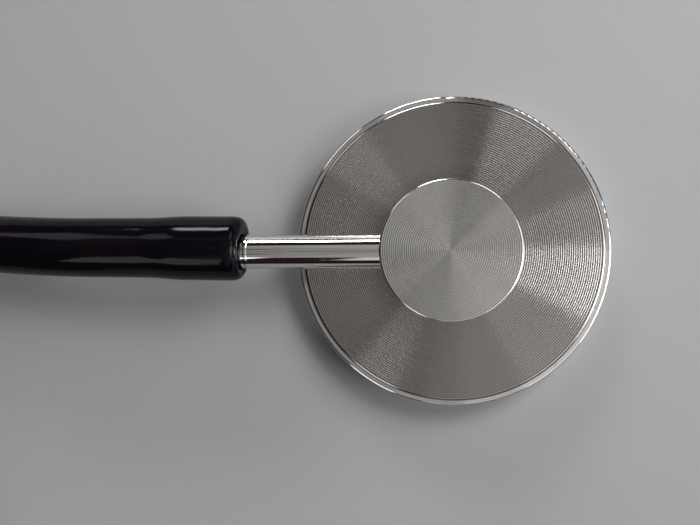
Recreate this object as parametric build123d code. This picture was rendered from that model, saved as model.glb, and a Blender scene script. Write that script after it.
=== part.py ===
from build123d import *
import math
import os

# A stethoscope with a flat single-head chest piece, laid on a table with its diaphragm down.
# All sizes are in millimetres. The origin is on the chest piece's axis, level with the skin
# side of its ring. +Z is up, and the stem, the tube and the headset lie towards -X.

# Chest piece: a turned disc with a boss, and a ring screwed over its rim
body_diameter = 45.2
ring_diameter = 47.0
ring_height = 4.6
ring_lip_height = 0.9
ring_lip_reach = 2.1
ring_thread_clearance = 0.08
ring_top_round = 0.4
ring_foot_round = 1.0
face_height = 5.4
face_edge_round = 0.55
boss_diameter = 20.5
boss_roof = 0.93
boss_edge_round = 0.35
boss_foot_round = 0.25
chamber_rim_width = 2.9
chamber_edge_depth = 0.7
chamber_centre_depth = 1.9
sound_duct_diameter = 3.4
diaphragm_thickness = 0.35
diaphragm_side_clearance = 0.25
diaphragm_lip_clearance = 0.05

# Stem: a plated tube pressed into the side of the boss, with two barbs in the rubber tube
stem_diameter = 5.15
stem_bore = 3.4
stem_over_face = 0.12
stem_seat_depth = 5.4
stem_reach = 46.0
stem_barb_height = 0.22
stem_barb_length = 3.2
stem_barb_pitch = 5.0
stem_nose_length = 1.6
stem_nose_taper = 0.5
stem_bead_height = 0.07
stem_bead_width = 0.6
stem_bead_slope = 0.18
stem_bead_from_mouth = 0.9

# Main tube: soft black tube from the stem to the fork
tube_diameter = 9.3
tube_bore = 4.2
tube_mouth_reach = 31.6
tube_flare = 0.28
tube_flare_taper = 4.0

# Put-away turn of the main tube, and the strap that ties it where it crosses itself
coil_radius = 47.0
coil_x = -132.0
coil_entry_y = 9.0
coil_entry_run = 20.0
coil_corners = 12
coil_climb_corners = 3
coil_crossing_gap = 0.35
strap_thickness = 1.0
strap_width = 12.0
strap_slack = 0.3
strap_corner_radius = 4.0

# Fork: a moulded piece that splits the main tube into two branch hoses
fork_x = -208.0
fork_y = -9.0
fork_trunk_diameter = 11.2
fork_trunk_length = 20.0
fork_socket_depth = 8.0
fork_arm_diameter = 10.0
fork_arm_angle = 18.0
fork_arm_start = 13.0
fork_arm_length = 24.0
fork_arm_socket_depth = 7.0
fork_web_height = 5.0
fork_web_from_arm_end = 2.0
fork_web_notch = 4.0
fork_end_ease = 0.8
fork_bore_overrun = 1.0
fork_floor_gap = 0.1

# Branch hoses
hose_diameter = 8.0
hose_bore = 4.0
hose_flare = 0.45
hose_flare_taper = 3.5
hose_grip = 22.0

# Ear tubes: bent plated tubes
ear_tube_diameter = 6.0
ear_tube_bore = 4.6
ear_tube_hose_clearance = 0.05
ear_tube_lower_end = (124.0, 14.5)
ear_tube_lower_bend = (178.0, 16.0)
ear_tube_upper_bend = (258.0, 57.0)
ear_tube_tip_end = (292.0, 37.0)
ear_tube_tip_rise = 8.0
ear_tube_lower_bend_radius = 60.0
ear_tube_upper_bend_radius = 32.0

# Headset spring: a steel leaf bent to a U, riveted to a collar on each ear tube
leaf_width = 10.0
leaf_thickness = 0.8
leaf_bend_radius = 5.0
leaf_bend_u = 112.0
leaf_end_bend_radius = 12.0
leaf_end_length = 13.0
collar_length = 10.0
collar_wall = 0.7
collar_u = 155.0
collar_pad_height = 0.9
collar_pad_width = 7.0
collar_pad_corner_round = 1.2
rivet_shank_diameter = 2.2
rivet_head_diameter = 4.0
rivet_head_height = 0.8
rivet_head_round = 0.7
rivet_inner_end = 3.6
leaf_hole_clearance = 0.1

# Ear tips, and the threaded inserts that they screw on
insert_collar_diameter = 7.2
insert_collar_length = 1.2
insert_shank_length = 7.0
insert_thread_diameter = 4.4
insert_thread_length = 5.0
insert_thread_chamfer = 0.4
insert_bore = 2.6
ear_tip_length = 14.0
ear_tip_diameter = 12.4
ear_tip_foot_diameter = 9.0
ear_tip_mouth_diameter = 6.4
ear_tip_waist_at = 3.5
ear_tip_waist_diameter = 9.4
ear_tip_widest_at = 8.7
ear_tip_hole_flare = 0.6
ear_tip_thread_clearance = 0.08
ear_tip_foot_gap = 0.1
ear_tip_socket_spare = 0.4

# Sizes that follow from the ones above
body_radius = body_diameter / 2
ring_bore_radius = body_radius + ring_thread_clearance
ring_lip_radius = ring_bore_radius - ring_lip_reach
diaphragm_z = ring_lip_height + diaphragm_lip_clearance
rim_z = diaphragm_z + diaphragm_thickness
stem_z = face_height + stem_over_face + stem_diameter / 2
boss_top = stem_z + stem_diameter / 2 + boss_roof
stem_inner_reach = boss_diameter / 2 - stem_seat_depth
sleeve_reach = stem_reach + tube_flare_taper
tube_rest_z = tube_diameter / 2
crossing_z = tube_rest_z + strap_thickness + strap_slack
hump_z = crossing_z + tube_diameter + coil_crossing_gap
headset_z = fork_trunk_diameter / 2 + fork_floor_gap
leaf_pad_offset = ear_tube_diameter / 2 + collar_wall + collar_pad_height


def headset(u, v, z=0.0):
    """A point of the headset: u from the fork towards the ears, v to the left, z over its plane."""
    return Vector(fork_x - u, fork_y + v, headset_z + z)


def facing(start, towards):
    """The placing that takes local +X from start towards another point, with local Y level."""
    ahead = (towards - start).normalized()
    side = Vector(0, 0, 1).cross(ahead).normalized()
    return Location(Plane(origin=start, x_dir=ahead, z_dir=ahead.cross(side)))


def spun(profile):
    """A solid turned about local X, from (x, radius) corners."""
    return revolve(make_face(Polyline(*[(x, r, 0) for x, r in profile], close=True)), Axis.X)


def rod(radius, start, end, radius_at_end=None):
    """A plain round rod, or a cone, between two points."""
    length = (end - start).length
    last = radius if radius_at_end is None else radius_at_end
    return facing(start, end) * spun([(0, 0), (0, radius), (length, last), (length, 0)])


def largest_radii(corners, share=0.45):
    """For each inner corner of a route, the largest arc that its two runs leave room for."""
    radii = []
    for before, corner, after in zip(corners, corners[1:], corners[2:]):
        run = min((corner - before).length, (after - corner).length)
        turn = math.radians((corner - before).get_angle(after - corner))
        radii.append(share * run / math.tan(turn / 2))
    return radii


def hose(name, corners, radii, outer_radius, bore_radius):
    """A hollow tube along straight runs joined by tangent arcs."""
    path = FilletPolyline(*corners, radius=radii)
    start = Plane(origin=path @ 0, z_dir=path % 0)
    tube = sweep(start * (Circle(outer_radius) - Circle(bore_radius)), path=path)
    expected = math.pi * (outer_radius**2 - bore_radius**2) * path.length
    print(f"{name}: length {path.length:.1f}, smallest radius {min(radii):.1f},",
          f"volume over section times length {tube.volume / expected:.5f}")
    return tube


def flared_end(outer, flare, bore, grip_radius, grip, taper):
    """The end of a tube stretched over what it grips, from local x = 0 to its mouth."""
    mouth = taper + grip
    return spun([
        (0, bore), (0, outer), (taper, outer + flare), (mouth, outer + flare),
        (mouth, grip_radius), (taper, grip_radius), (taper, bore),
    ])


def chest_body():
    """The turned disc: boss on top, a shallow sound chamber below, a duct up to the stem."""
    disc = Pos(0, 0, rim_z) * Cylinder(body_radius, face_height - rim_z,
                                       align=(Align.CENTER, Align.CENTER, Align.MIN))
    disc = fillet(disc.edges().sort_by(Axis.Z)[-1], face_edge_round)
    boss = Pos(0, 0, face_height) * Cylinder(boss_diameter / 2, boss_top - face_height,
                                             align=(Align.CENTER, Align.CENTER, Align.MIN))
    boss = fillet(boss.edges().sort_by(Axis.Z)[-1], boss_edge_round)
    solid = disc + boss
    foot = solid.edges().filter_by_position(Axis.Z, face_height - 0.01, face_height + 0.01)
    solid = fillet(foot.sort_by(SortBy.RADIUS)[0], boss_foot_round)
    chamber_radius = body_radius - chamber_rim_width
    chamber = make_face(Polyline(
        (0, 0, rim_z), (chamber_radius, 0, rim_z), (chamber_radius, 0, rim_z + chamber_edge_depth),
        (0, 0, rim_z + chamber_centre_depth), close=True))
    solid -= revolve(chamber, Axis.Z)
    duct_height = stem_z - rim_z
    solid -= Pos(0, 0, rim_z) * Cylinder(sound_duct_diameter / 2, duct_height,
                                         align=(Align.CENTER, Align.CENTER, Align.MIN))
    along = facing(Vector(0, 0, stem_z), Vector(-1, 0, stem_z))
    solid -= along * spun([(0, 0), (0, stem_bore / 2), (stem_inner_reach, stem_bore / 2),
                           (stem_inner_reach, stem_diameter / 2),
                           (body_radius, stem_diameter / 2), (body_radius, 0)])
    return solid


def stem_outline():
    """The stem's outside as (distance from the boss axis, radius) corners."""
    radius = stem_diameter / 2
    bead = tube_mouth_reach - stem_bead_from_mouth
    corners = [(stem_inner_reach, radius),
               (bead - stem_bead_width, radius),
               (bead - stem_bead_width + stem_bead_slope, radius + stem_bead_height),
               (bead - stem_bead_slope, radius + stem_bead_height), (bead, radius)]
    first_barb = stem_reach - stem_nose_length - stem_barb_length - stem_barb_pitch
    for foot in (first_barb, first_barb + stem_barb_pitch):
        corners += [(foot, radius), (foot, radius + stem_barb_height),
                    (foot + stem_barb_length, radius)]
    return corners + [(stem_reach, radius - stem_nose_taper)]


def chest_stem():
    along = facing(Vector(0, 0, stem_z), Vector(-1, 0, stem_z))
    bore = stem_bore / 2
    return along * spun([(stem_inner_reach, bore)] + stem_outline() + [(stem_reach, bore)])


def stem_filled():
    """The stem without its bore, to cut the seat that it stretches in the tube."""
    along = facing(Vector(0, 0, stem_z), Vector(-1, 0, stem_z))
    return along * spun([(stem_inner_reach, 0)] + stem_outline() + [(stem_reach, 0)])


def retaining_ring():
    outline = make_face(Polyline(
        (ring_lip_radius, 0, 0), (ring_diameter / 2, 0, 0), (ring_diameter / 2, 0, ring_height),
        (ring_bore_radius, 0, ring_height), (ring_bore_radius, 0, ring_lip_height),
        (ring_lip_radius, 0, ring_lip_height), close=True))
    ring = revolve(outline, Axis.Z)
    rims = ring.edges().filter_by(GeomType.CIRCLE).group_by(SortBy.RADIUS)[-1].sort_by(Axis.Z)
    ring = fillet(rims[-1], ring_top_round)
    rims = ring.edges().filter_by(GeomType.CIRCLE).group_by(SortBy.RADIUS)[-1].sort_by(Axis.Z)
    return fillet(rims[0], ring_foot_round)


def diaphragm():
    radius = ring_bore_radius - diaphragm_side_clearance
    return Pos(0, 0, diaphragm_z) * Cylinder(radius, diaphragm_thickness,
                                             align=(Align.CENTER, Align.CENTER, Align.MIN))


def coil_corners_of_the_turn():
    """The put-away turn: from its entry corner round the circle and over itself to its exit corner."""
    step = 360 / coil_corners
    corner_radius = coil_radius / math.cos(math.radians(step / 2))
    crossing_y = coil_entry_y - coil_entry_run * math.sin(math.radians(step / 2))
    side = coil_entry_run * math.cos(math.radians(step / 2))
    corners = [Vector(coil_x + side, coil_entry_y, crossing_z)]
    for i in range(1, coil_corners):
        angle = math.radians(90 + i * step)
        climb = max(0, i - coil_corners + coil_climb_corners + 1) / coil_climb_corners
        low_z = crossing_z if i == 1 else tube_rest_z
        corners.append(Vector(coil_x + corner_radius * math.cos(angle),
                              crossing_y - corner_radius + corner_radius * math.sin(angle),
                              low_z + (hump_z - low_z) * climb))
    return corners + [Vector(coil_x - side, coil_entry_y, hump_z)]


def tube_stretches():
    """The main tube's three stretches, each as its corners and their radii."""
    from_stem = [Vector(-sleeve_reach, 0, stem_z), Vector(-62, 0, stem_z),
                 Vector(-84, 2.2, tube_rest_z + 0.4)]
    turn = coil_corners_of_the_turn()
    to_fork = [Vector(-175, 3.0, 10.3), Vector(fork_x + 10, fork_y, headset_z),
               Vector(fork_x - fork_socket_depth, fork_y, headset_z)]
    radii = largest_radii(from_stem + turn + to_fork)
    first_joint = (from_stem[-1] + turn[0]) / 2
    last_joint = (turn[-1] + to_fork[0]) / 2
    return {
        "main_tube": (from_stem + [first_joint], radii[:2]),
        "tube_coil": ([first_joint] + turn + [last_joint], radii[2:-2]),
        "tube_tail": ([last_joint] + to_fork, radii[-2:]),
    }


def tube_stretch(name):
    """One stretch of the main tube, hollow and of an even section."""
    corners, radii = tube_stretches()[name]
    return hose(name, corners, radii, tube_diameter / 2, tube_bore / 2)


def main_tube():
    """The stretch from the stem, whose end is stretched over the stem and its barbs."""
    end = facing(Vector(-sleeve_reach, 0, stem_z), Vector(0, 0, stem_z)) * flared_end(
        tube_diameter / 2, tube_flare, tube_bore / 2, stem_diameter / 2,
        stem_reach - tube_mouth_reach, tube_flare_taper)
    return tube_stretch("main_tube") + (end - stem_filled())


def coil_strap():
    """The flat strap round both strands where the tube crosses itself."""
    half_turn = math.radians(180 / coil_corners)
    across = tube_diameter / math.cos(half_turn) + strap_width * math.tan(half_turn) + 2 * strap_slack
    tall = hump_z - crossing_z + tube_diameter + 2 * strap_slack
    outline = (RectangleRounded(across + 2 * strap_thickness, tall + 2 * strap_thickness,
                                strap_corner_radius + strap_thickness)
               - RectangleRounded(across, tall, strap_corner_radius))
    crossing_y = coil_entry_y - coil_entry_run * math.sin(half_turn)
    middle = Plane(origin=(coil_x - strap_width / 2, crossing_y, (crossing_z + hump_z) / 2),
                   x_dir=(0, 1, 0), z_dir=(1, 0, 0))
    return extrude(middle * outline, strap_width)


def arm_point(along, side=1):
    """A point on the axis of a fork arm, measured from where the arms part."""
    angle = math.radians(fork_arm_angle)
    return headset(fork_arm_start + along * math.cos(angle), side * along * math.sin(angle))


def fork():
    """The moulded fork: a trunk that takes the main tube and two arms that take the hoses."""
    trunk_radius = fork_trunk_diameter / 2
    arm_radius = fork_arm_diameter / 2
    trunk = facing(headset(0, 0), headset(1, 0)) * spun([
        (0, 0), (0, trunk_radius - fork_end_ease), (fork_end_ease, trunk_radius),
        (fork_trunk_length - fork_end_ease, trunk_radius),
        (fork_trunk_length, arm_radius), (fork_trunk_length, 0)])
    solid = trunk
    for side in (1, -1):
        solid += facing(arm_point(0, side), arm_point(1, side)) * spun([
            (0, 0), (0, arm_radius), (fork_arm_length - fork_end_ease, arm_radius),
            (fork_arm_length, arm_radius - fork_end_ease), (fork_arm_length, 0)])
    arm_end_u = fork_arm_start + fork_arm_length * math.cos(math.radians(fork_arm_angle))
    crotch = arm_end_u - fork_web_from_arm_end
    web = make_face(Polyline(
        headset(fork_arm_start, 0), headset(crotch, arm_radius / 2), headset(crotch - fork_web_notch, 0),
        headset(crotch, -arm_radius / 2), close=True))
    solid += extrude(web, fork_web_height / 2, both=True)
    solid -= rod(tube_diameter / 2, headset(0, 0), headset(fork_socket_depth, 0))
    solid -= rod(tube_bore / 2, headset(0, 0), headset(fork_arm_start + fork_bore_overrun, 0))
    for side in (1, -1):
        solid -= rod(hose_bore / 2, arm_point(0, side), arm_point(fork_arm_length, side))
        solid -= rod(hose_diameter / 2, arm_point(fork_arm_length - fork_arm_socket_depth, side),
                     arm_point(fork_arm_length, side))
    return solid


def lower_leg(u, inward=0.0):
    """A point beside the straight lower leg of the left ear tube."""
    (u0, v0), (u1, v1) = ear_tube_lower_end, ear_tube_lower_bend
    slope = (v1 - v0) / (u1 - u0)
    angle = math.atan(slope)
    return (u + inward * math.sin(angle), v0 + (u - u0) * slope - inward * math.cos(angle))


def branch_hose():
    """The left hose, from the fork's arm to where it is stretched over the ear tube."""
    grip_start = ear_tube_lower_end[0]
    sleeve_start = headset(*lower_leg(grip_start - hose_flare_taper))
    mouth = headset(*lower_leg(grip_start + hose_grip))
    route = [arm_point(fork_arm_length - fork_arm_socket_depth), arm_point(fork_arm_length + 21),
             headset(84, 16.2), headset(*lower_leg(110)), sleeve_start]
    tube = hose("branch hose", route, largest_radii(route), hose_diameter / 2, hose_bore / 2)
    end = facing(sleeve_start, mouth) * flared_end(
        hose_diameter / 2, hose_flare, hose_bore / 2,
        ear_tube_diameter / 2 + ear_tube_hose_clearance, hose_grip, hose_flare_taper)
    return tube + end


def ear_tube():
    """The left ear tube: straight into the hose, out round the head, and in to the ear."""
    corners = [headset(*ear_tube_lower_end), headset(*ear_tube_lower_bend),
               headset(*ear_tube_upper_bend), headset(*ear_tube_tip_end, ear_tube_tip_rise)]
    path = FilletPolyline(*corners, radius=[ear_tube_lower_bend_radius, ear_tube_upper_bend_radius])
    start = Plane(origin=path @ 0, z_dir=path % 0)
    return sweep(start * (Circle(ear_tube_diameter / 2) - Circle(ear_tube_bore / 2)), path=path)


def at_collar():
    """The placing of the left collar: local X along the ear tube, local Y to the other tube."""
    return facing(headset(*lower_leg(collar_u)), headset(*lower_leg(collar_u + 1)))


def spring_collar():
    """The left collar: a band round the ear tube with a flat pad for the leaf."""
    outer = ear_tube_diameter / 2 + collar_wall
    band = spun([(-collar_length / 2, 0), (-collar_length / 2, outer),
                 (collar_length / 2, outer), (collar_length / 2, 0)])
    pad = Pos(0, leaf_pad_offset / 2, 0) * Box(collar_length, leaf_pad_offset, collar_pad_width)
    pad = fillet(pad.edges().filter_by(Axis.Y), collar_pad_corner_round)
    solid = band + pad
    solid -= spun([(-collar_length, 0), (-collar_length, ear_tube_diameter / 2),
                   (collar_length, ear_tube_diameter / 2), (collar_length, 0)])
    shank = rod(rivet_shank_diameter / 2, Vector(0, rivet_inner_end, 0), Vector(0, leaf_pad_offset, 0))
    return at_collar() * (solid - shank)


def spring_rivet():
    """The left rivet: its shank in the collar's pad, its domed head over the leaf."""
    seat = leaf_pad_offset + leaf_thickness
    crown = seat + rivet_head_height
    rivet = spun([(rivet_inner_end, 0), (rivet_inner_end, rivet_shank_diameter / 2),
                  (seat, rivet_shank_diameter / 2), (seat, rivet_head_diameter / 2),
                  (crown, rivet_head_diameter / 2), (crown, 0)])
    rim = rivet.edges().filter_by(GeomType.CIRCLE).sort_by(Axis.X)[-1]
    return at_collar() * Rot(0, 0, 90) * fillet(rim, rivet_head_round)


def leaf_spring():
    """The U of spring steel: both legs run from the bend to the pads of the two collars."""
    inward = leaf_pad_offset + leaf_thickness / 2
    end = lower_leg(collar_u + leaf_end_length / 2, inward)
    foot = lower_leg(collar_u - leaf_end_length / 2, inward)
    run = math.dist(foot, (leaf_bend_u, 0))
    leg_angle = math.atan2(foot[1], foot[0] - leaf_bend_u) - math.asin(leaf_bend_radius / run)
    apex = leaf_bend_u - leaf_bend_radius / math.sin(leg_angle)
    path = FilletPolyline(
        headset(*end), headset(*foot), headset(apex, 0), headset(foot[0], -foot[1]),
        headset(end[0], -end[1]),
        radius=[leaf_end_bend_radius, leaf_bend_radius, leaf_end_bend_radius])
    section = Plane(origin=path @ 0, x_dir=(0, 0, 1), z_dir=path % 0)
    leaf = sweep(section * Rectangle(leaf_width, leaf_thickness), path=path)
    hole = at_collar() * rod(rivet_shank_diameter / 2 + leaf_hole_clearance,
                             Vector(0, leaf_pad_offset - leaf_thickness, 0),
                             Vector(0, leaf_pad_offset + 2 * leaf_thickness, 0))
    return leaf - hole - right(hole)


def at_tip():
    """The placing of the left ear tip: local X outwards along the ear tube's last leg."""
    end = headset(*ear_tube_tip_end, ear_tube_tip_rise)
    return facing(end, end + (end - headset(*ear_tube_upper_bend)))


def tip_insert():
    """The left threaded insert: a shank in the ear tube, a collar, and the stub of the thread."""
    bore = insert_bore / 2
    thread_end = insert_collar_length + insert_thread_length
    return at_tip() * spun([
        (-insert_shank_length, bore), (-insert_shank_length, ear_tube_bore / 2), (0, ear_tube_bore / 2),
        (0, insert_collar_diameter / 2), (insert_collar_length, insert_collar_diameter / 2),
        (insert_collar_length, insert_thread_diameter / 2),
        (thread_end - insert_thread_chamfer, insert_thread_diameter / 2),
        (thread_end, insert_thread_diameter / 2 - insert_thread_chamfer), (thread_end, bore)])


def ear_tip():
    """The left ear tip: a hard olive with a threaded socket and a sound hole."""
    foot = insert_collar_length + ear_tip_foot_gap
    crown = foot + ear_tip_length
    outside = Spline((foot, ear_tip_foot_diameter / 2, 0),
                     (foot + ear_tip_waist_at, ear_tip_waist_diameter / 2, 0),
                     (foot + ear_tip_widest_at, ear_tip_diameter / 2, 0),
                     (crown, ear_tip_mouth_diameter / 2, 0))
    profile = make_face(outside + Polyline((crown, ear_tip_mouth_diameter / 2, 0), (crown, 0, 0),
                                           (foot, 0, 0), (foot, ear_tip_foot_diameter / 2, 0)))
    solid = revolve(profile, Axis.X)
    socket_end = insert_collar_length + insert_thread_length + ear_tip_socket_spare
    socket_radius = insert_thread_diameter / 2 + ear_tip_thread_clearance
    solid -= spun([(foot, 0), (foot, socket_radius), (socket_end, socket_radius),
                   (socket_end, insert_bore / 2), (crown - ear_tip_hole_flare, insert_bore / 2),
                   (crown, insert_bore / 2 + ear_tip_hole_flare), (crown, 0)])
    return at_tip() * solid


def right(left_piece):
    """The right piece of a pair, mirrored in the headset's middle plane."""
    return mirror(left_piece, about=Plane(origin=(0, fork_y, 0), z_dir=(0, 1, 0)))


def model():
    """Every piece by the name of its node."""
    pieces = {
        "chest_body": chest_body(),
        "chest_stem": chest_stem(),
        "diaphragm": diaphragm(),
        "retaining_ring": retaining_ring(),
        "main_tube": main_tube(),
        "tube_coil": tube_stretch("tube_coil"),
        "tube_tail": tube_stretch("tube_tail"),
        "coil_strap": coil_strap(),
        "tube_fork": fork(),
        "leaf_spring": leaf_spring(),
    }
    for name, make in (("branch_hose", branch_hose), ("ear_tube", ear_tube),
                       ("spring_collar", spring_collar), ("spring_rivet", spring_rivet),
                       ("tip_insert", tip_insert), ("ear_tip", ear_tip)):
        piece = make()
        pieces["left_" + name] = piece
        pieces["right_" + name] = right(piece)
    return pieces


os.makedirs("parts", exist_ok=True)
for node, shape in model().items():
    export_step(shape, f"parts/{node}.step")
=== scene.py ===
"""A stethoscope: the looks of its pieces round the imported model, on a pale table.

Lengths are in metres, and points that a line names in millimetres are multiplied by MM."""

import math

import bmesh
import bpy
import numpy as np
from mathutils import Euler, Matrix, Vector


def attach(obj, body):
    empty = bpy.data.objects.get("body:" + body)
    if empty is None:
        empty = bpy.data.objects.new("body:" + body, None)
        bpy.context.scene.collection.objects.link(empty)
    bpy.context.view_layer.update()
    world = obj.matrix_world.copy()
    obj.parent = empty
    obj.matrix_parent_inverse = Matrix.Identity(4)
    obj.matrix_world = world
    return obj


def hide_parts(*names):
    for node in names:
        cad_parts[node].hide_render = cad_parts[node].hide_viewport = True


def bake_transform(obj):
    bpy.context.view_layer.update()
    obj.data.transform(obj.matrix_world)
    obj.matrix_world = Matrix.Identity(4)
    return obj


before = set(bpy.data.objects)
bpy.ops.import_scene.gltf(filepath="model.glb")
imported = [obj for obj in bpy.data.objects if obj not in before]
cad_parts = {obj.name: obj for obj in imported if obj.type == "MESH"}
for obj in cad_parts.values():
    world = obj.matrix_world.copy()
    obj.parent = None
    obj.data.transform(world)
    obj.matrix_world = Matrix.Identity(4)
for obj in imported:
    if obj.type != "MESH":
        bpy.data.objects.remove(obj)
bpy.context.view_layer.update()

MM = 0.001

# Camera: held close over the chest piece and looking down
CAMERA_PLACE = Vector((-0.6, -1.5, 111.6)) * MM
CAMERA_TURN = (-0.13, 7.85, -0.24)
CAMERA_LENS = 36.0
CAMERA_SENSOR = 36.0
CAMERA_NEAREST = 0.005

# Lamp: past the upper right corner of the picture
LAMP_PLACE = Vector((0.17, 0.145, 0.195))
LAMP_SIZE = 0.14
LAMP_POWER = 0.81

# Room: its colours, and the share of its light that matt surfaces don't get
ROOM_DARK = (0.022, 0.013, 0.014)
ROOM_DOME = (0.28, 0.285, 0.27)
ROOM_BACKDROP = (0.62, 0.63, 0.64, 1.0)
ROOM_HELD_BACK = 0.90
DOME_EDGE = (41, 45)
PANEL_SOFT = 1.5
TABLE_HALF = 2.0

# Panels of the room: azimuth of the middle, half the width, start and end in degrees off the zenith,
# and the brightness added. The metal shows them as bright and dark sectors.
CEILING = (
    (0, 180, -5, 20, 0.10),
    (-11.5, 14.5, 4, 43, 0.40),
    (-43, 17, 4, 43, 0.43),
    (-72, 12, 4, 43, 0.26),
    (-98, 14, 4, 43, 0.08),
    (99.5, 15.5, 4, 43, 0.09),
    (34.5, 10.5, 4, 43, 0.30),
    (13.5, 10.5, 4, 43, 0.24),
    (180, 50, 20, 43, -0.20),
    (180, 9, 4, 20, -0.15),
    (78, 8, 12, 43, -0.14),
)
WINDOWS = (
    (-11.5, 14.5, 38, 64, 9.5),
    (-43, 17, 40, 64, 1.6),
    (-80, 20, 43, 64, 0.7),
    (-121.5, 9.5, 43, 64, 3.0),
    (135, 10, 43, 64, 2.4),
    (59, 12.5, 38, 64, 3.0),
    (13.5, 10.5, 40, 64, 3.2),
    (34.5, 10.5, 43, 64, 0.5),
    (104, 10, 67, 77, 26.0),
    (-15, 20, 64, 86, 3.0),
)

# Chest piece
BODY_RADIUS = 22.6 * MM
BODY_RIM_Z = 1.3 * MM
FACE_Z = 5.4 * MM
FACE_EDGE_ROUND = 0.55 * MM
BOSS_RADIUS = 10.25 * MM
BOSS_TOP_Z = 11.6 * MM
BOSS_EDGE_ROUND = 0.35 * MM
BOSS_FOOT_ROUND = 0.25 * MM
CHAMBER_RADIUS = 19.7 * MM
CHAMBER_EDGE_DEPTH = 0.7 * MM
CHAMBER_CENTRE_DEPTH = 1.9 * MM
DUCT_RADIUS = 1.7 * MM
STEM_Z = 8.095 * MM
STEM_RADIUS = 2.575 * MM
STEM_SEAT_INNER = 4.85 * MM
LATHE_SEGMENTS = 180
WELD = 2e-7

# Tool marks of the lathe on the face and the boss. The two slopes are those of an arc's edge and of the
# fine lines in it.
GROOVE_PITCH = 0.31 * MM
GROOVE_STEPS = 6
GROOVE_DEPTH = 0.015 * MM
FACE_SLOPES = (0.24, 0.22)
BOSS_SLOPES = (0.15, 0.15)
CHATTER_SLOPE = 0.03
FINE_LINES_PER_GROOVE = 17.37
MARKS_END = 0.01 * MM
FACE_INNER = BOSS_RADIUS + BOSS_FOOT_ROUND
FACE_OUTER = BODY_RADIUS - FACE_EDGE_ROUND
BOSS_OUTER = BOSS_RADIUS - BOSS_EDGE_ROUND
FACE_GROOVES = round((FACE_OUTER - FACE_INNER) / GROOVE_PITCH)
BOSS_GROOVES = round(BOSS_OUTER / GROOVE_PITCH)

# Headset, in millimetres but for the diameters: u runs from the fork to the ears, v to the left
FORK_X = -208.0
FORK_Y = -9.0
HEADSET_Z = 5.7
FORK_ARM_START_U = 13
FORK_ARM_ANGLE = 18
EAR_TUBE_START = (124.0, 14.5)
EAR_TUBE_STRAIGHT_END = (178.0, 16.0)
HOSE_DIAMETER = 8.0 * MM
HOSE_BORE = 4.0 * MM
HOSE_GRIP_RADIUS = 3.03 * MM
HOSE_STRETCH = 0.45 * MM
HOSE_FLARE = (21, 26.5)
LEAF_CUTS = (106.5, 156, 1.5)

# Main tube: the points of its route are those of the model, in millimetres
TUBE_DIAMETER = 9.3 * MM
TUBE_BORE = 4.2 * MM
TUBE_STRETCH = 0.28 * MM
TUBE_FLARE = (8.6, 14.8)
TUBE_PLAY_ON_STEM = 0.02 * MM
TUBE_MOUTH = (-31.6, 0.5, 8.1)
TUBE_TO_COIL = [(-50, 0.8, 8.09), (-62, 0.85, 8.0), (-84, 2.2, 5.05)]
TUBE_TO_FORK = [(-175, 3.0, 10.3), (-198, FORK_Y, HEADSET_Z), (-216, FORK_Y, HEADSET_Z)]
TUBE_REST_Z = 4.65
COIL_RADIUS = 47.0
COIL_X = -132.0
COIL_ENTRY = (-112.68, 9.0, 5.95)
COIL_ENTRY_REACH = 20.0
COIL_CORNERS = 12
COIL_CLIMB = 3
COIL_STEP = 360 / COIL_CORNERS
COIL_HALF_STEP = math.radians(COIL_STEP / 2)
CROSSING_Y = COIL_ENTRY[1] - COIL_ENTRY_REACH * math.sin(COIL_HALF_STEP)
CROSSING_Z = 5.95
HUMP_Z = 15.6

# Mouth of the main tube, cut a little askew, in millimetres
MOUTH_STANDS_OUT = 0.26
MOUTH_ASKEW = 0.12
MOUTH_DISH_REACH = 7

# Rounded ends of the soft tubes, in millimetres: distance from the mouth, and how much the radius is
# under that of the stretched outside, or over that of the bore
TUBE_CORNER = ((1.8, 0.0), (1.3, 0.03), (0.9, 0.09), (0.6, 0.18), (0.35, 0.33), (0.16, 0.56), (0.05, 0.88))
TUBE_BORE_CORNER = ((0.02, 0.5), (0.09, 0.26), (0.24, 0.1), (0.5, 0.02))
HOSE_CORNER = ((0.5, 0.0), (0.25, 0.04), (0.1, 0.13), (0.0, 0.3))
HOSE_BORE_CORNER = ((0.0, 0.3), (0.1, 0.12), (0.3, 0.03))

# Strap round the two strands where they cross, in millimetres
STRAP_HALF_Y = 6.5
STRAP_HALF_Z = 9.7
STRAP_CORNER = 4.2
STRAP_THICKNESS = 0.8
STRAP_WIDTH = 12.0
STRAP_OVERLAP = 17.0
STRAP_STEP_UP = 5.0
STRAP_LAP_GAP = 0.05
STRAP_END_ROUND = 6.0
STRAP_END_FLAT = 0.2
STRAP_EDGE_ROUND = 0.2
STRAP_STATIONS = 150


# Node trees


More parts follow.
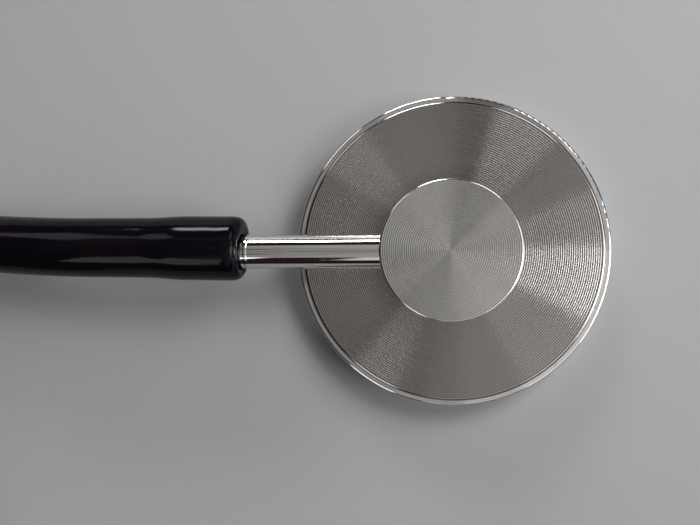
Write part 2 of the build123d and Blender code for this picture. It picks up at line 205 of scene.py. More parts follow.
class Wire:
    """A socket of a node tree, on which maths is written as a Python expression."""

    def __init__(self, tree, socket):
        self.tree = tree
        self.socket = socket

    def _is_vector(self):
        return self.socket.type in ("VECTOR", "RGBA")

    def _maths(self, operation, *operands):
        """A Math node, or a Vector Math node where the first operand is a vector or a colour."""
        vector = isinstance(operands[0], Wire) and operands[0]._is_vector()
        kind = "ShaderNodeVectorMath" if vector else "ShaderNodeMath"
        return self.tree.take(kind, {"operation": operation}, dict(enumerate(operands)))

    def __add__(self, other):
        return self._maths("ADD", self, other)

    __radd__ = __add__

    def __sub__(self, other):
        return self._maths("SUBTRACT", self, other)

    def __rsub__(self, other):
        return self._maths("SUBTRACT", other, self)

    def __mul__(self, other):
        if self._is_vector():
            scaled = {0: self, "Scale": other}
            return self.tree.take("ShaderNodeVectorMath", {"operation": "SCALE"}, scaled)
        if isinstance(other, Wire) and other._is_vector():
            return other * self
        return self._maths("MULTIPLY", self, other)

    __rmul__ = __mul__

    def __truediv__(self, other):
        return self._maths("DIVIDE", self, other)

    def maths(self, operation, *others):
        return self._maths(operation, self, *others)

    def rise(self, low, high):
        """0 below low, 1 above high, and smooth between."""
        return self.tree.take(
            "ShaderNodeMapRange",
            {"interpolation_type": "SMOOTHSTEP"},
            {"Value": self, "From Min": low, "From Max": high},
        )

    def between(self, low, high, soft):
        return self.rise(low - soft, low + soft) * (1 - self.rise(high - soft, high + soft))

    def part(self, axis):
        """The X, Y or Z of a vector."""
        return self.tree.take("ShaderNodeSeparateXYZ", {}, {0: self}, axis)


class Tree:
    """A node tree, whose nodes are made by one method."""

    def __init__(self, tree):
        self.tree = tree
        tree.nodes.clear()

    def node(self, kind, settings=None, inputs=None):
        made = self.tree.nodes.new(kind)
        for name, value in (settings or {}).items():
            setattr(made, name, value)
        for name, value in (inputs or {}).items():
            if isinstance(value, Wire):
                self.tree.links.new(value.socket, made.inputs[name])
            else:
                made.inputs[name].default_value = value
        return made

    def take(self, kind, settings=None, inputs=None, output=0):
        """A node's output as a wire, by its name or its place among those in use."""
        made = self.node(kind, settings, inputs)
        in_use = [socket for socket in made.outputs if socket.enabled]
        return Wire(self, made.outputs[output] if isinstance(output, str) else in_use[output])

    def coordinates(self):
        return self.take("ShaderNodeTexCoord", output="Object")

    def noise(self, at, scale, detail=2.0, roughness=0.5):
        inputs = {"Vector": at, "Scale": scale, "Detail": detail, "Roughness": roughness}
        return self.take("ShaderNodeTexNoise", {}, inputs)

    def stretched(self, at, scales):
        return self.take("ShaderNodeVectorMath", {"operation": "MULTIPLY"}, {0: at, 1: scales})

    def combined(self, x, y, z):
        return self.take("ShaderNodeCombineXYZ", {}, {0: x, 1: y, 2: z})

    def mixed(self, factor, first, second):
        """One colour over another. The Mix node's colour sockets are 6 and 7, and its result is 2."""
        made = self.node("ShaderNodeMix", {"data_type": "RGBA"}, {0: factor, 6: first, 7: second})
        return Wire(self, made.outputs[2])

    def bump(self, height, distance, strength=1.0):
        inputs = {"Height": height, "Distance": distance, "Strength": strength}
        return self.take("ShaderNodeBump", {}, inputs)


class Geometry(Tree):
    """A Geometry Nodes tree, with inputs of its own."""

    def __init__(self, name, inputs):
        super().__init__(bpy.data.node_groups.new(name, "GeometryNodeTree"))
        interface = self.tree.interface
        interface.new_socket("Geometry", in_out="OUTPUT", socket_type="NodeSocketGeometry")
        self.keys = {}
        for label, kind in inputs.items():
            socket = interface.new_socket(label, in_out="INPUT", socket_type=kind)
            self.keys[label] = socket.identifier
        self.start = self.node("NodeGroupInput")

    def given(self, label):
        return Wire(self, self.start.outputs[label])

    def end(self, geometry, material):
        """Real geometry with its material."""
        real = self.take("GeometryNodeRealizeInstances", {}, {0: geometry})
        painted = self.take("GeometryNodeSetMaterial", {}, {"Geometry": real, "Material": material})
        self.node("NodeGroupOutput", {}, {0: painted})

    def result(self, name, values):
        """The mesh that the tree makes from these values."""
        holder = placed(name, bpy.data.meshes.new(name))
        modifier = holder.modifiers.new("shape", "NODES")
        modifier.node_group = self.tree
        for label, value in values.items():
            modifier[self.keys[label]] = value
        return taken_mesh(holder, name)


# Materials


def finish(name, surface):
    """A material whose Principled shader gets the sockets that surface(tree) returns."""
    material = bpy.data.materials.new(name)
    material.use_nodes = True
    tree = Tree(material.node_tree)
    shader = tree.take("ShaderNodeBsdfPrincipled", {}, surface(tree), "BSDF")
    tree.node("ShaderNodeOutputMaterial", {}, {"Surface": shader})
    return material


def grey(level, warm=0.0):
    """A grey, a little warm or cool."""
    return (level * (1 + warm), level, level * (1 - warm), 1.0)


def turned_aluminium(tree):
    """Lathe-turned metal: tool marks of a shallow arc, with finer lines in each. They are read off the
    distance from the axis, and so is the slope that each gives to the surface."""
    at = tree.coordinates()
    x, y, z = at.part(0), at.part(1), at.part(2)
    radius = (x * x + y * y).maths("SQRT")
    angle = y.maths("ARCTAN2", x)
    on_boss = z.rise(FACE_Z + 2 * MM, FACE_Z + 3 * MM)
    face_turns = (radius - FACE_INNER) * (FACE_GROOVES / (FACE_OUTER - FACE_INNER))
    boss_turns = radius * (BOSS_GROOVES / BOSS_OUTER)
    turns = face_turns + on_boss * (boss_turns - face_turns)

    flat_boss = on_boss * (1 - radius.rise(BOSS_OUTER - MARKS_END, BOSS_OUTER))
    flat_face = (1 - on_boss) * z.rise(FACE_Z - 0.1 * MM, FACE_Z - 0.05 * MM)
    flat_face = flat_face * (1 - radius.rise(FACE_OUTER - MARKS_END, FACE_OUTER))
    turned = flat_boss + flat_face * radius.rise(FACE_INNER, FACE_INNER + MARKS_END)

    from_middle = turns.maths("FRACT") * 2 - 1
    fine = (turns * FINE_LINES_PER_GROOVE).maths("FRACT") * 2 - 1
    chatter = tree.noise(tree.combined(turns * 0.9, angle * 2.5, 0.0), 1.0, 3.0, 0.65)
    on_face = from_middle * FACE_SLOPES[0] + fine * FACE_SLOPES[1]
    on_top = from_middle * BOSS_SLOPES[0] + fine * BOSS_SLOPES[1]
    slope = on_face + on_boss * (on_top - on_face) + (chatter - 0.5) * CHATTER_SLOPE
    across = tree.take(
        "ShaderNodeVectorTransform",
        {"vector_type": "NORMAL", "convert_from": "OBJECT", "convert_to": "WORLD"},
        {0: tree.combined(x / radius * slope * -1, y / radius * slope * -1, 1.0)},
    )
    plain = tree.take("ShaderNodeNewGeometry", output="Normal")

    # Painted shade: the middle of each tool mark's arc is darkened in the colour, so the groove lines
    # show.
    painted_valley_shade = (1 - from_middle.maths("ABSOLUTE").rise(0.1, 0.8)) * turned
    patches = tree.noise(at, 260.0, 3.0).rise(0.45, 0.75)
    bright = tree.mixed(on_boss, grey(0.32, 0.045), grey(0.60, 0.02))
    shaded_groove_colour = tree.mixed(painted_valley_shade * 0.2, bright, grey(0.26, 0.05))
    return {
        "Base Color": tree.mixed(patches * 0.15, shaded_groove_colour, (0.34, 0.30, 0.27, 1.0)),
        "Metallic": 1.0,
        "Roughness": 0.12 + chatter.rise(0.4, 0.8) * 0.08,
        "Normal": (plain * (1 - turned) + across * turned).maths("NORMALIZE"),
    }


def bright_chrome(tree):
    """Polished plating with fine wipe marks and a few dull spots."""
    at = tree.coordinates()
    wipes = tree.noise(tree.stretched(at, (300, 4000, 4000)), 1.0, 3.0, 0.65)
    dull = tree.noise(at, 420.0, 4.0).rise(0.56, 0.74)
    return {
        "Base Color": tree.mixed(dull * 0.5, grey(0.66, 0.012), grey(0.5, 0.03)),
        "Metallic": 1.0,
        "Roughness": 0.035 + dull * 0.09 + wipes.rise(0.5, 0.8) * 0.05,
        "Normal": tree.bump(wipes, 0.002 * MM, 0.5),
    }


def black_tubing(tree):
    """Glossy black vinyl, with a faint wave from the extruder and specks of dust."""
    at = tree.coordinates()
    wave = tree.noise(at, 150.0, 2.0)
    grain = tree.noise(at, 5200.0, 2.0)
    cells = tree.node("ShaderNodeTexVoronoi", {"feature": "F1"}, {"Vector": at, "Scale": 330.0})
    distance = Wire(tree, cells.outputs["Distance"])
    chosen = Wire(tree, cells.outputs["Color"]).part(0)
    speck = (1 - distance.rise(0.03, 0.07)) * chosen.rise(0.70, 0.72)
    smear = tree.noise(tree.stretched(at, (60, 380, 380)), 1.0, 3.0).rise(0.5, 0.8)
    black = tree.mixed(smear, (0.0022, 0.0018, 0.0028, 1.0), (0.0040, 0.0026, 0.0034, 1.0))
    return {
        "Base Color": tree.mixed(speck * 0.8, black, (0.30, 0.30, 0.31, 1.0)),
        "Roughness": 0.09 + smear * 0.07 + speck * 0.5,
        "Specular IOR Level": 0.09,
        "Normal": tree.bump(wave * 3 + grain * 0.02, 0.05 * MM, 0.5),
    }


def diaphragm_sheet(tree):
    """A stiff resin sheet with the faint weave of its glass cloth."""
    at = tree.coordinates()
    weave = (at.part(0) * 7000).maths("SINE") * (at.part(1) * 7000).maths("SINE")
    cloud = tree.noise(at, 90.0, 3.0)
    return {
        "Base Color": tree.mixed(cloud, (0.66, 0.64, 0.55, 1.0), (0.76, 0.74, 0.66, 1.0)),
        "Roughness": 0.22 + cloud * 0.08,
        "Normal": tree.bump(weave, 0.01 * MM, 0.4),
    }


def strap_webbing(tree):
    """The soft loop side of a hook and loop strap."""
    at = tree.coordinates()
    loops = tree.noise(at, 2600.0, 3.0, 0.7)
    rows = (at.part(0) * 5200).maths("SINE")
    high = loops.rise(0.3, 0.7)
    return {
        "Base Color": tree.mixed(high, (0.012, 0.012, 0.014, 1.0), (0.055, 0.055, 0.06, 1.0)),
        "Roughness": 0.88,
        "Sheen Weight": 0.35,
        "Normal": tree.bump(loops * 2 + rows * 0.4, 0.12 * MM, 0.9),
    }


def spring_steel(tree):
    """Rolled strip, brushed along its length."""
    at = tree.coordinates()
    brushed = tree.noise(tree.stretched(at, (160, 900, 9000)), 1.0, 3.0, 0.7)
    stain = tree.noise(at, 130.0, 3.0).rise(0.5, 0.8)
    return {
        "Base Color": tree.mixed(stain * 0.4, grey(0.52, 0.01), (0.40, 0.37, 0.33, 1.0)),
        "Metallic": 1.0,
        "Roughness": 0.20 + brushed * 0.16,
        "Normal": tree.bump(brushed, 0.006 * MM, 0.7),
    }


def insert_brass(tree):
    """Turned brass, a little stained."""
    at = tree.coordinates()
    stain = tree.noise(at, 900.0, 3.0)
    return {
        "Base Color": tree.mixed(stain, (0.60, 0.46, 0.22, 1.0), (0.70, 0.56, 0.30, 1.0)),
        "Metallic": 1.0,
        "Roughness": 0.16 + stain * 0.14,
        "Normal": tree.bump(stain, 0.01 * MM, 0.4),
    }


def ear_tip_plastic(tree):
    """Hard moulded plastic with a faint orange peel and rubbed patches."""
    at = tree.coordinates()
    peel = tree.noise(at, 1500.0, 2.0)
    rubbed = tree.noise(at, 190.0, 3.0).rise(0.5, 0.75)
    return {
        "Base Color": tree.mixed(rubbed, (0.013, 0.013, 0.014, 1.0), (0.026, 0.026, 0.027, 1.0)),
        "Roughness": 0.20 + rubbed * 0.14,
        "Coat Weight": 0.25,
        "Normal": tree.bump(peel, 0.02 * MM, 0.5),
    }


def moulded_vinyl(tree):
    """The fork: softer and duller than the tube."""
    at = tree.coordinates()
    grain = tree.noise(at, 2400.0, 3.0)
    bloom = tree.noise(at, 160.0, 3.0)
    return {
        "Base Color": tree.mixed(bloom, (0.008, 0.008, 0.009, 1.0), (0.018, 0.018, 0.019, 1.0)),
        "Roughness": 0.30 + bloom * 0.15,
        "Normal": tree.bump(grain, 0.02 * MM, 0.6),
    }


def table_paint(tree):
    """Pale satin paint, slightly clouded."""
    at = tree.coordinates()
    cloud = tree.noise(at, 22.0, 3.0)
    fine = tree.noise(at, 900.0, 2.0)
    return {
        "Base Color": tree.mixed(cloud, (0.325, 0.33, 0.335, 1.0), (0.345, 0.348, 0.352, 1.0)),
        "Roughness": 0.6,
        "Specular IOR Level": 0.25,
        "Normal": tree.bump(fine, 0.02 * MM, 0.3),
    }


SURFACES = (
    turned_aluminium,
    bright_chrome,
    black_tubing,
    diaphragm_sheet,
    strap_webbing,
    spring_steel,
    insert_brass,
    ear_tip_plastic,
    moulded_vinyl,
)
MATERIALS = {surface.__name__: finish(surface.__name__, surface) for surface in SURFACES}


# Meshes and pieces


def placed(name, data):
    """An object in the scene with this mesh, curve, lamp or camera."""
    made = bpy.data.objects.new(name, data)
    bpy.context.scene.collection.objects.link(made)
    return made


def taken_mesh(holder, name):
    """The mesh that an object has with its modifiers. The object itself goes."""
    graph = bpy.context.evaluated_depsgraph_get()
    mesh = bpy.data.meshes.new_from_object(holder.evaluated_get(graph))
    mesh.name = name
    bpy.data.objects.remove(holder)
    return mesh


def shaped_mesh(shape, name):
    """The mesh of a finished shape, which is freed."""
    mesh = bpy.data.meshes.new(name)
    shape.to_mesh(mesh)
    shape.free()
    return mesh


def piece(name, mesh, slot, sharp_over=35.0):
    """An object of the scene from a finished mesh, smooth but for its sharp edges."""
    made = placed(name, mesh)
    mesh.materials.clear()
    mesh.materials.append(MATERIALS[slot])
    shape = bmesh.new()
    shape.from_mesh(mesh)
    for face in shape.faces:
        face.smooth = True
    for edge in shape.edges:
        edge.smooth = len(edge.link_faces) == 2 and edge.calc_face_angle(0) < math.radians(sharp_over)
    shape.to_mesh(mesh)
    shape.free()
    return made


def dress(node, material):
    """A CAD node keeps its shape and gets a finish."""
    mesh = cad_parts[node].data
    mesh.materials.clear()
    mesh.materials.append(MATERIALS[material])


def join_loops(shape, first, second):
    """Faces between two closed loops of as many points."""
    count = len(first)
    for k in range(count):
        n = (k + 1) % count
        shape.faces.new((first[k], first[n], second[n], second[k]))


# The chest piece


def turned_face_tree():
    """A flat ring of concentric tool marks: each is a shallow arc, and neighbours meet in a ridge."""
    sizes = dict.fromkeys(("Inner Radius", "Outer Radius", "Height", "Depth"), "NodeSocketFloat")
    counts = dict.fromkeys(("Grooves", "Steps", "Segments"), "NodeSocketInt")
    tree = Geometry("TurnedFace", sizes | counts)
    steps = tree.given("Steps")
    across = tree.given("Grooves") * steps
    points = {"Vertices X": across + 1, "Vertices Y": tree.given("Segments") + 1}
    grid = tree.take("GeometryNodeMeshGrid", {}, {"Size X": 1.0, "Size Y": 1.0} | points, "Mesh")
    at = tree.take("GeometryNodeInputPosition")
    share = at.part(0) + 0.5
    turn = (at.part(1) + 0.5) * (2 * math.pi)
    inner = tree.given("Inner Radius")
    radius = share * (tree.given("Outer Radius") - inner) + inner
    grooves_in = (share * across).maths("ROUND") / steps
    from_middle = grooves_in.maths("FRACT") * 2 - 1
    uneven = tree.take(
        "FunctionNodeRandomValue",
        {"data_type": "FLOAT"},
        {"Min": 0.97, "Max": 1.03, "ID": grooves_in.maths("FLOOR"), "Seed": 4},
        "Value",
    )
    low = (1 - from_middle * from_middle) * (tree.given("Depth") * uneven)
    height = tree.given("Height") - low
    place = tree.combined(radius * turn.maths("COSINE"), radius * turn.maths("SINE"), height)
    moved = tree.take("GeometryNodeSetPosition", {}, {"Geometry": grid, "Position": place})
    closed = tree.take("GeometryNodeMergeByDistance", {}, {"Geometry": moved, "Distance": WELD})
    tree.end(closed, MATERIALS["turned_aluminium"])
    return tree


def arc_points(centre, radius, start, end, steps):
    """Points of an arc in the plane of (distance from the axis, height), angles in degrees."""
    return [
        (centre[0] + radius * math.cos(a), centre[1] + radius * math.sin(a))
        for a in np.radians(np.linspace(start, end, steps + 1))
    ]


def lathe(shape, profile):
    """Adds the surface that a profile of (radius, height) sweeps round the Z axis."""
    turns = [2 * math.pi * k / LATHE_SEGMENTS for k in range(LATHE_SEGMENTS)]
    loops = []
    for radius, height in profile:
        if radius < WELD:
            loops.append([shape.verts.new((0, 0, height))] * LATHE_SEGMENTS)
        else:
            around = [(radius * math.cos(t), radius * math.sin(t), height) for t in turns]
            loops.append([shape.verts.new(place) for place in around])
    for lower, upper in zip(loops, loops[1:]):
        for k in range(LATHE_SEGMENTS):
            n = (k + 1) % LATHE_SEGMENTS
            corners = [lower[k], lower[n], upper[n], upper[k]]
            shape.faces.new(list(dict.fromkeys(corners)))


def cut(mesh, cutter):
    """The mesh less the cutter, both closed."""
    body = placed("body", mesh)
    tool = placed("tool", cutter)
    modifier = body.modifiers.new("cut", "BOOLEAN")
    modifier.operation = "DIFFERENCE"
    modifier.solver = "EXACT"
    modifier.object = tool
    result = taken_mesh(body, mesh.name)
    bpy.data.objects.remove(tool)
    return result


def rod_mesh(name, start, end, radius, sides=64):
    """A plain round rod from start to end."""
    shape = bmesh.new()
    along = end - start
    place = Matrix.Translation((start + end) / 2) @ along.to_track_quat("Z", "Y").to_matrix().to_4x4()
    sizes = {"radius1": radius, "radius2": radius, "depth": along.length}
    bmesh.ops.create_cone(shape, cap_ends=True, segments=sides, matrix=place, **sizes)
    return shaped_mesh(shape, name)


def chest_body():
    """The turned disc with its boss: tool marks on both faces, polished edges and the chamber below."""
    tree = turned_face_tree()
    shape = bmesh.new()
    for name, inner, outer, height, grooves in (
        ("face_marks", FACE_INNER, FACE_OUTER, FACE_Z, FACE_GROOVES),
        ("boss_marks", 0.0, BOSS_OUTER, BOSS_TOP_Z, BOSS_GROOVES),
    ):
        sizes = {"Inner Radius": inner, "Outer Radius": outer, "Height": height, "Depth": GROOVE_DEPTH}
        counts = {"Grooves": grooves, "Steps": GROOVE_STEPS, "Segments": LATHE_SEGMENTS}
        shape.from_mesh(tree.result(name, sizes | counts))
    foot = arc_points((FACE_INNER, FACE_Z + BOSS_FOOT_ROUND), BOSS_FOOT_ROUND, 270, 180, 4)
    crown = arc_points((BOSS_OUTER, BOSS_TOP_Z - BOSS_EDGE_ROUND), BOSS_EDGE_ROUND, 0, 90, 8)
    lathe(shape, foot + crown)
    chamber_top = BODY_RIM_Z + CHAMBER_CENTRE_DEPTH
    chamber_slope = (CHAMBER_CENTRE_DEPTH - CHAMBER_EDGE_DEPTH) / CHAMBER_RADIUS
    underside = [
        (0, STEM_Z),
        (DUCT_RADIUS, STEM_Z),
        (DUCT_RADIUS, chamber_top - chamber_slope * DUCT_RADIUS),
        (CHAMBER_RADIUS, BODY_RIM_Z + CHAMBER_EDGE_DEPTH),
        (CHAMBER_RADIUS, BODY_RIM_Z),
        (BODY_RADIUS, BODY_RIM_Z),
    ]
    edge = arc_points((FACE_OUTER, FACE_Z - FACE_EDGE_ROUND), FACE_EDGE_ROUND, 0, 90, 10)
    lathe(shape, underside + edge)
    bmesh.ops.remove_doubles(shape, verts=shape.verts, dist=WELD)
    bmesh.ops.recalc_face_normals(shape, faces=shape.faces)
    solid = shaped_mesh(shape, "turned_chest_body")
    seat_start = Vector((-STEM_SEAT_INNER, 0, STEM_Z))
    seat_end = Vector((-BODY_RADIUS, 0, STEM_Z))
    seat = rod_mesh("seat", seat_start, seat_end, STEM_RADIUS)
    made = piece("turned_chest_body", cut(solid, seat), "turned_aluminium")
    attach(made, "root")
    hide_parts("chest_body")


# The tubes


def smooth_line(points, per_span=12):
    """Points, in metres, of the NURBS spline whose control points are given in millimetres."""
    curve = bpy.data.curves.new("line", "CURVE")
    curve.dimensions = "3D"
    curve.resolution_u = per_span
    spline = curve.splines.new("NURBS")
    spline.points.add(len(points) - 1)
    for target, point in zip(spline.points, points):
        target.co = (point[0] * MM, point[1] * MM, point[2] * MM, 1)
    spline.order_u = 3
    spline.use_endpoint_u = True
    mesh = taken_mesh(placed("line", curve), "line")
    return [vertex.co.copy() for vertex in mesh.vertices]


class Path:
    """A line that can be read at any distance from its start, also a little before it."""

    def __init__(self, points):
        self.points = points
        steps = [(b - a).length for a, b in zip(points, points[1:])]
        self.distances = np.concatenate([[0], np.cumsum(steps)])
        self.length = float(self.distances[-1])

    def place(self, distance):
        if distance <= 0:
            return self.points[0] + (self.points[0] - self.points[1]).normalized() * -distance
        co = np.array(self.points)
        return Vector([float(np.interp(distance, self.distances, co[:, i])) for i in range(3)])

    def frame(self, distance):
        """The place, the way back to the start, a level side and the up of the line."""
        reach = 0.6 * MM
        inside = min(max(distance, reach), self.length - reach)
        back = (self.place(inside - reach) - self.place(inside + reach)).normalized()
        side = Vector((0, 0, 1)).cross(-back).normalized()
        return self.place(distance), back, side, (-back).cross(side)


def ring(distance, radius, shift=Vector((0, 0, 0)), dish=0.0):
    """A ring of a tube, at a distance in millimetres. Shift moves its centre, and dish is its share in
    the dished mouth."""
    return distance * MM, radius, shift, dish


def eased(distance, full, none):
    """1 up to the distance of full, 0 from that of none, and smooth between."""
    share = np.interp(distance, [full, none], [1, 0])
    return share * share * (3 - 2 * share)


def mouth_dish(angle):
    """How far the mouth stands out of the tube's end. The angle is from the level side up."""
    return (MOUTH_STANDS_OUT - MOUTH_ASKEW * math.cos(angle)) * MM


def tube_mesh(name, path, rings, sides):
    """A closed hollow tube: its rings run down the outside to the mouth and back up the bore."""
    shape = bmesh.new()
    loops = []
    for distance, radius, shift, dish in rings:
        centre, back, side, up = path.frame(distance)
        loop = []
        for k in range(sides):
            angle = 2 * math.pi * k / sides
            place = centre + shift + (side * math.cos(angle) + up * math.sin(angle)) * radius
            loop.append(shape.verts.new(place + back * (dish * mouth_dish(angle))))
        loops.append(loop)
    for first, second in zip(loops, loops[1:] + loops[:1]):
        join_loops(shape, first, second)
    bmesh.ops.recalc_face_normals(shape, faces=shape.faces)
    return shaped_mesh(shape, name)


def coil_points():
    """The put-away turn, worked out as in the model. It climbs over its own start at the end."""
    corner_radius = COIL_RADIUS / math.cos(COIL_HALF_STEP)
    points = [COIL_ENTRY]
    for i in range(1, COIL_CORNERS):
        angle = math.radians(90 + i * COIL_STEP)
        climb = max(0, i - COIL_CORNERS + COIL_CLIMB + 1) / COIL_CLIMB
        low = CROSSING_Z if i == 1 else TUBE_REST_Z
        x = COIL_X + corner_radius * math.cos(angle)
        y = CROSSING_Y - corner_radius + corner_radius * math.sin(angle)
        points.append((x, y, low + (HUMP_Z - low) * climb))
    return points + [(2 * COIL_X - COIL_ENTRY[0], COIL_ENTRY[1], HUMP_Z)]


def main_tube():
    """The black tube, stretched over the stem, with its put-away turn, up to the fork."""
    path = Path(smooth_line([TUBE_MOUTH] + TUBE_TO_COIL + coil_points() + TUBE_TO_FORK))
    outer = TUBE_DIAMETER / 2
    stretched = outer + TUBE_STRETCH
    grip = STEM_RADIUS + TUBE_PLAY_ON_STEM
    bore = TUBE_BORE / 2
    to_stem = Vector((0, -TUBE_MOUTH[1] * MM, -0.005 * MM))
    far = np.arange(path.length / MM, 22, -1.8)
    rings = [ring(d, outer) for d in far]
    for d in np.arange(20, 1.9, -0.8):
        near_mouth = max(0.0, 1 - d / MOUTH_DISH_REACH)
        radius = outer + (stretched - outer) * eased(d, *TUBE_FLARE)
        rings.append(ring(d, radius, dish=near_mouth * near_mouth))
    rings += [ring(d, stretched - drop * MM, dish=1.0) for d, drop in TUBE_CORNER]
    rings.append(ring(0.0, (stretched + grip) / 2, to_stem * 0.5, 1.0))
    rings += [ring(d, grip + rise * MM, to_stem, 1.0) for d, rise in TUBE_BORE_CORNER]
    rings += [ring(d, grip, to_stem) for d in (6, 10, 14)]
    rings += [ring(d, bore) for d in (17, 20)]
    rings += [ring(d, bore) for d in reversed(far)]
    made = piece("black_main_tube", tube_mesh("black_main_tube", path, rings, 56), "black_tubing")
    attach(made, "root")
    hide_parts("main_tube", "tube_coil", "tube_tail")
    return made, path


def headset(u, v, z=0.0):
    """A point of the headset in millimetres: u from the fork to the ears, v to the left."""
    return (FORK_X - u, FORK_Y + v, HEADSET_Z + z)


def on_ear_tube(u, side):
    """A point of the straight start of an ear tube."""
    (start_u, start_v), (end_u, end_v) = EAR_TUBE_START, EAR_TUBE_STRAIGHT_END
    return headset(u, side * (start_v + (u - start_u) * ((end_v - start_v) / (end_u - start_u))))


def on_fork_arm(along, side):
    """A point of an arm of the fork."""
    angle = math.radians(FORK_ARM_ANGLE)
    return headset(FORK_ARM_START_U + along * math.cos(angle), side * along * math.sin(angle))


def bending(made):
    """Bakes the piece's place into its mesh."""
    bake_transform(made)


def branch_hose(side):
    """One hose, from the fork to where it is stretched over the ear tube."""
    name = "left" if side > 0 else "right"
    route = [on_ear_tube(u, side) for u in (146, 132, 120.5, 110)]
    route += [headset(84, side * 16.2)]
    route += [on_fork_arm(along, side) for along in (45, 30, 17)]
    path = Path(smooth_line(route))
    outer = HOSE_DIAMETER / 2
    stretched = outer + HOSE_STRETCH
    bore = HOSE_BORE / 2
    far = np.arange(path.length / MM, 30, -1.5)
    rings = [ring(d, outer) for d in far]
    for d in np.arange(29, 0.9, -1.0):
        rings.append(ring(d, outer + (stretched - outer) * eased(d, *HOSE_FLARE)))
    rings += [ring(d, stretched - drop * MM) for d, drop in HOSE_CORNER]
    rings += [ring(d, HOSE_GRIP_RADIUS + rise * MM) for d, rise in HOSE_BORE_CORNER]
    rings += [ring(d, HOSE_GRIP_RADIUS) for d in (8, 22)]
    rings += [ring(d, bore) for d in (26, 29)]
    rings += [ring(d, bore) for d in reversed(far)]
    made = piece(f"{name}_soft_hose", tube_mesh(f"{name}_soft_hose", path, rings, 48), "black_tubing")
    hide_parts(f"{name}_branch_hose")
    bending(made)


def leaf_half(side):
    """Half of the U of the spring, sliced across at even steps near its middle, where the real spring
    bends as the ear tubes spread.
    """
    name = "left" if side > 0 else "right"
    shape = bmesh.new()
    shape.from_mesh(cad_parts["leaf_spring"].data)
    bmesh.ops.remove_doubles(shape, verts=shape.verts, dist=1e-6)

    def slice_at(u, normal, **how):
        every = shape.verts[:] + shape.edges[:] + shape.faces[:]
        where = {"plane_co": Vector(headset(u, 0)) * MM, "plane_no": normal}
        return bmesh.ops.bisect_plane(shape, geom=every, dist=WELD / 2, **where, **how)

    for u in np.arange(*LEAF_CUTS):
        slice_at(u, (1, 0, 0))
    halved = slice_at(0, (0, side, 0), clear_inner=True)
    edges = [e for e in halved["geom_cut"] if isinstance(e, bmesh.types.BMEdge)]
    bmesh.ops.holes_fill(shape, edges=edges)
    bmesh.ops.recalc_face_normals(shape, faces=shape.faces)
    made = piece(f"{name}_leaf_half", shaped_mesh(shape, f"{name}_leaf_half"), "spring_steel")
    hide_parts("leaf_spring")
    bending(made)


# The strap


def strap_outline(distance, out):
    """A point (y, z) in millimetres from the strap's middle: that far round a rounded box from the middle
    of its foot, and that far out of it."""
    flat_y = STRAP_HALF_Y - STRAP_CORNER
    flat_z = STRAP_HALF_Z - STRAP_CORNER
    radius = STRAP_CORNER + out
    quarter = math.pi / 2 * STRAP_CORNER
    legs = [
        ((0, -1), (flat_y, 0)),
        ((1, 0), (0, 2 * flat_z)),
        ((0, 1), (-2 * flat_y, 0)),
        ((-1, 0), (0, -2 * flat_z)),
        ((0, -1), (flat_y, 0)),
    ]
    y, z = 0.0, -flat_z
    for normal, run in legs:
        length = math.hypot(*run)
        share = min(distance / length, 1.0)
        y += run[0] * share
        z += run[1] * share
        if distance <= length:
            break
        distance -= length
        if distance <= quarter:
            angle = math.atan2(normal[1], normal[0]) + distance / STRAP_CORNER
            return y + radius * math.cos(angle), z + radius * math.sin(angle)
        distance -= quarter
    return y + normal[0] * radius, z + normal[1] * radius


def coil_strap():
    """The hook and loop strap round the crossing strands: once round and a lap, with a rounded end."""
    middle = Vector((COIL_X, CROSSING_Y, (CROSSING_Z + HUMP_Z) / 2))
    round_once = 4 * (STRAP_HALF_Y + STRAP_HALF_Z - 2 * STRAP_CORNER) + 2 * math.pi * STRAP_CORNER
    shape = bmesh.new()
    loops = []
    for distance in np.linspace(0, round_once + STRAP_OVERLAP, STRAP_STATIONS):
        step_up = [round_once - STRAP_STEP_UP, round_once]
        lap = np.interp(distance, step_up, [0, STRAP_THICKNESS + STRAP_LAP_GAP])
        to_end = min(1.0, (round_once + STRAP_OVERLAP - distance) / STRAP_END_ROUND)
        half = STRAP_WIDTH / 2 * max(STRAP_END_FLAT, math.sqrt(to_end * (2 - to_end)))
        flat = half - STRAP_EDGE_ROUND
        inner = np.array(strap_outline(distance % round_once, lap))
        outer = np.array(strap_outline(distance % round_once, lap + STRAP_THICKNESS))
        low = inner + (outer - inner) * 0.25
        high = inner + (outer - inner) * 0.75
        section = (
            (-flat, inner),
            (flat, inner),
            (half, low),
            (half, high),
            (flat, outer),
            (-flat, outer),
            (-half, high),
            (-half, low),
        )
        loops.append([shape.verts.new((middle + Vector((x, *at))) * MM) for x, at in section])
    for first, second in zip(loops, loops[1:]):
        join_loops(shape, first, second)
    shape.faces.new(loops[0])
    shape.faces.new(list(reversed(loops[-1])))
    bmesh.ops.recalc_face_normals(shape, faces=shape.faces)
    mesh = shaped_mesh(shape, "hook_and_loop_strap")
    made = piece("hook_and_loop_strap", mesh, "strap_webbing", sharp_over=60)
    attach(made, "root")
    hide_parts("coil_strap")
    return made


# The table, the room, the lamp and the camera


def table_top():
    """The pale table: a large flat sheet."""
    mesh = bpy.data.meshes.new("table_top")
    ends = ((-1, -1), (1, -1), (1, 1), (-1, 1))
    mesh.from_pydata([(x * TABLE_HALF, y * TABLE_HALF, 0) for x, y in ends], [], [(0, 1, 2, 3)])
    mesh.materials.append(finish("table_top", table_paint))
    placed("table_top", mesh)


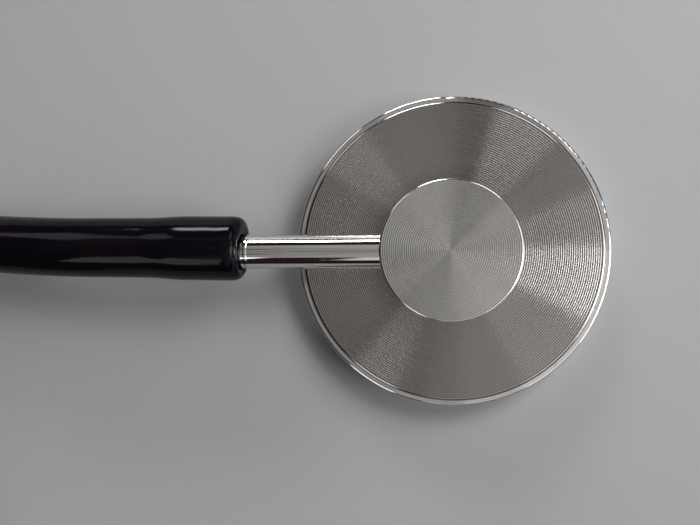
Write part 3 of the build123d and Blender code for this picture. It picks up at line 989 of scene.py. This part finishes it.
def studio():
    """A dim room with a broad dome overhead and a few bright panels, which the metal shows as sectors."""
    world = bpy.data.worlds.new("studio")
    bpy.context.scene.world = world
    world.use_nodes = True
    tree = Tree(world.node_tree)
    way = tree.take("ShaderNodeTexCoord", output="Generated")
    x, y, z = way.part(0), way.part(1), way.part(2)
    level_reach = (x * x + y * y).maths("SQRT") + 1e-6
    off_zenith = z.maths("ARCCOSINE") * (180 / math.pi)

    def sector(middle, half):
        """1 within half of the middle azimuth, in degrees anticlockwise from +X."""
        a = math.radians(middle)
        along = (x * math.cos(a) + y * math.sin(a)) / level_reach
        outside = math.cos(math.radians(half + PANEL_SOFT))
        inside = math.cos(math.radians(max(half - PANEL_SOFT, 0)))
        return along.rise(outside, inside)

    light = tree.combined(*ROOM_DARK) + (1 - off_zenith.rise(*DOME_EDGE)) * tree.combined(*ROOM_DOME)
    for middle, half, low, high, added in CEILING + WINDOWS:
        panel = sector(middle, half) * off_zenith.between(low, high, PANEL_SOFT)
        light = light + panel * tree.combined(added, added, added)
    matt = tree.take("ShaderNodeLightPath", output="Is Diffuse Ray")
    light = light * (1 - matt * ROOM_HELD_BACK)
    seen = tree.take("ShaderNodeLightPath", output="Is Camera Ray")
    light = tree.mixed(seen, light, ROOM_BACKDROP)
    background = tree.take("ShaderNodeBackground", {}, {"Color": light, "Strength": 1.0})
    tree.node("ShaderNodeOutputWorld", {}, {"Surface": background})


def lamp():
    """A soft lamp, so that the table is lighter towards the upper right."""
    data = bpy.data.lights.new("lamp", "AREA")
    data.size = LAMP_SIZE
    data.energy = LAMP_POWER
    made = placed("lamp", data)
    turn = LAMP_PLACE.to_track_quat("Z", "Y").to_matrix().to_4x4()
    made.matrix_world = Matrix.Translation(LAMP_PLACE) @ turn
    made.visible_glossy = False


def camera():
    """The camera of the picture."""
    data = bpy.data.cameras.new("camera")
    data.lens = CAMERA_LENS
    data.sensor_width = CAMERA_SENSOR
    data.clip_start = CAMERA_NEAREST
    made = placed("camera", data)
    turn = Euler([math.radians(a) for a in CAMERA_TURN], "XYZ").to_matrix().to_4x4()
    made.matrix_world = Matrix.Translation(CAMERA_PLACE) @ turn
    bpy.context.scene.camera = made


# The object

chest_body()
black_tube, tube_path = main_tube()
strap = coil_strap()
for side in (1, -1):
    branch_hose(side)
    leaf_half(side)

for node, material in {
    "chest_stem": "bright_chrome",
    "retaining_ring": "bright_chrome",
    "diaphragm": "diaphragm_sheet",
    "tube_fork": "moulded_vinyl",
}.items():
    dress(node, material)
for node, material in {
    "ear_tube": "bright_chrome",
    "spring_collar": "bright_chrome",
    "spring_rivet": "spring_steel",
    "tip_insert": "insert_brass",
    "ear_tip": "ear_tip_plastic",
}.items():
    dress(f"left_{node}", material)
    dress(f"right_{node}", material)

# The picture

table_top()
studio()
lamp()
camera()
bpy.context.scene.view_settings.view_transform = "Standard"
